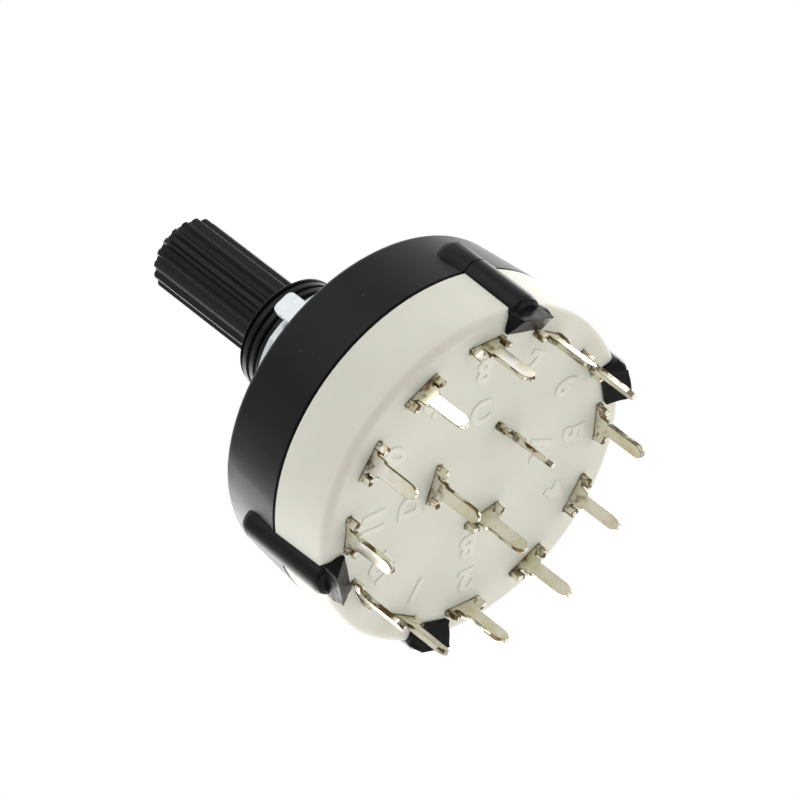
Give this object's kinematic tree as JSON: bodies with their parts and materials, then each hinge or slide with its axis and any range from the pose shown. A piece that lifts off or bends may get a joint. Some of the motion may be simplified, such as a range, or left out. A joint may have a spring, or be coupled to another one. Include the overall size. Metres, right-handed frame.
{
  "type": "rotary switch",
  "caption": "Panel-mount rotary switch with a knurled spindle, threaded bushing with nut and tab washer, round two-part body and solder pins.",
  "frame": {"origin": "on the spindle's axis, in the plane of the raised boss where the panel seats", "axes": "+Z along the spindle towards its tip; +Y midway between terminals 12 and 1"},
  "size_m": [0.0272, 0.0272, 0.0372],
  "materials": {
    "black_moulding": "satin moulded thermoplastic",
    "white_moulding": "satin moulded thermoplastic",
    "black_spindle": "satin moulded thermoplastic",
    "plated_steel": "nickel-plated steel",
    "tinned_brass": "tinned brass sheet",
    "spring_bronze": "rolled phosphor bronze",
    "bearing_steel": "polished steel"
  },
  "bodies": {
    "body": {"cover": "black_moulding", "base": "white_moulding", "hex_nut": "plated_steel", "lock_washer": "plated_steel", "tab_washer": "plated_steel", "common_a": "tinned_brass", "common_b": "tinned_brass", "common_c": "tinned_brass", "terminal_1": "tinned_brass", "terminal_2": "tinned_brass", "terminal_3": "tinned_brass", "terminal_4": "tinned_brass", "terminal_5": "tinned_brass", "terminal_6": "tinned_brass", "terminal_7": "tinned_brass", "terminal_8": "tinned_brass", "terminal_9": "tinned_brass", "terminal_10": "tinned_brass", "terminal_11": "tinned_brass", "terminal_12": "tinned_brass"},
    "rotor": {"spindle": "black_spindle", "wiper_a": "spring_bronze", "wiper_b": "spring_bronze", "wiper_c": "spring_bronze", "detent_ball_a": "bearing_steel", "detent_spring_a": "bearing_steel", "detent_ball_b": "bearing_steel", "detent_spring_b": "bearing_steel"}
  },
  "joints": [
    {"name": "spindle_turn", "type": "hinge", "parent": "body", "child": "rotor", "pos_m": [0, 0, 0], "axis": [0, 0, -1], "range_deg": [0, 90]}
  ]
}
